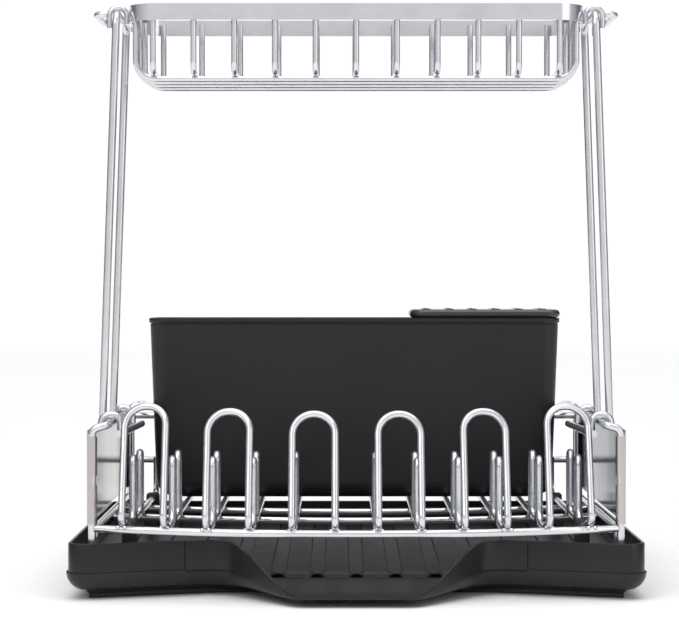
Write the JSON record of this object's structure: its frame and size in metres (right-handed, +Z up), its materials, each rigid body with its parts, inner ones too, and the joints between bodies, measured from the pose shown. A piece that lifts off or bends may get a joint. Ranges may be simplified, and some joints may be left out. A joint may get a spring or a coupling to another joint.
{
  "type": "dish drying rack",
  "caption": "Two-tier dish drying rack: wire plate rack with steel sides over a spouted drain tray, with a rear utensil caddy, knife insert and a raised wire shelf.",
  "frame": {"origin": "on the counter, under the middle of the whole rack's box", "axes": "+Z up, -Y toward the front with the spout, X from side to side"},
  "size_m": [0.446, 0.37, 0.4612],
  "materials": {
    "frame_paint": "satin",
    "panel_steel": "polished",
    "tray_plastic": "matte",
    "caddy_plastic": "matte",
    "insert_plastic": "satin",
    "foot_plastic": "matte"
  },
  "bodies": {
    "tray": {"drain_tray": "tray_plastic"},
    "rack": {"side_frame_left": "frame_paint", "side_frame_right": "frame_paint", "side_panel_left": "panel_steel", "side_panel_right": "panel_steel", "front_rail": "frame_paint", "floor_rail_front": "frame_paint", "floor_rail_rear": "frame_paint", "rear_mid_rail": "frame_paint", "rear_top_rail": "frame_paint", "plate_wire_1": "frame_paint", "plate_wire_2": "frame_paint", "plate_wire_3": "frame_paint", "plate_wire_4": "frame_paint", "plate_wire_5": "frame_paint", "plate_wire_6": "frame_paint", "rack_foot_front_left": "foot_plastic", "rack_foot_front_right": "foot_plastic", "rack_foot_rear_left": "foot_plastic", "rack_foot_rear_right": "foot_plastic"},
    "upright_left_body": {"upright_left": "frame_paint", "saddle_bar_left": "frame_paint", "saddle_hook_front_left": "frame_paint", "saddle_hook_rear_left": "frame_paint"},
    "upright_right_body": {"upright_right": "frame_paint", "saddle_bar_right": "frame_paint", "saddle_hook_front_right": "frame_paint", "saddle_hook_rear_right": "frame_paint"},
    "shelf": {"shelf_rim": "frame_paint", "basket_wire_1": "frame_paint", "basket_wire_2": "frame_paint", "basket_wire_3": "frame_paint", "basket_wire_4": "frame_paint", "basket_wire_5": "frame_paint", "basket_wire_6": "frame_paint", "basket_wire_7": "frame_paint", "basket_wire_8": "frame_paint", "basket_wire_9": "frame_paint", "basket_wire_10": "frame_paint", "basket_wire_11": "frame_paint", "basket_runner_1": "frame_paint", "basket_runner_2": "frame_paint", "basket_runner_3": "frame_paint", "basket_runner_4": "frame_paint", "shelf_hook_front_left": "frame_paint", "shelf_hook_front_right": "frame_paint", "shelf_hook_rear_left": "frame_paint", "shelf_hook_rear_right": "frame_paint", "side_loop_left": "frame_paint", "side_loop_right": "frame_paint"},
    "caddy": {"caddy_shell": "caddy_plastic", "caddy_divider_left": "caddy_plastic", "caddy_divider_right": "caddy_plastic"},
    "insert": {"knife_insert": "insert_plastic"}
  },
  "joints": [
    {"name": "rack_lift", "type": "slide", "parent": "tray", "child": "rack", "axis": [0, 0, 1], "range_m": [0, 0.06]},
    {"name": "upright_left_lift", "type": "slide", "parent": "rack", "child": "upright_left_body", "axis": [0, 0, 1], "range_m": [0, 0.04]},
    {"name": "upright_right_lift", "type": "slide", "parent": "rack", "child": "upright_right_body", "axis": [0, 0, 1], "range_m": [0, 0.04]},
    {"name": "shelf_lift", "type": "slide", "parent": "upright_left_body", "child": "shelf", "axis": [0, 0, 1], "range_m": [0, 0.04]},
    {"name": "caddy_lift", "type": "slide", "parent": "rack", "child": "caddy", "axis": [0, 0, 1], "range_m": [0, 0.1]},
    {"name": "insert_lift", "type": "slide", "parent": "caddy", "child": "insert", "axis": [0, 0, 1], "range_m": [0, 0.06]}
  ],
  "couplings": [
    {"joint": "upright_right_lift", "follows": "upright_left_lift", "ratio": 1}
  ]
}
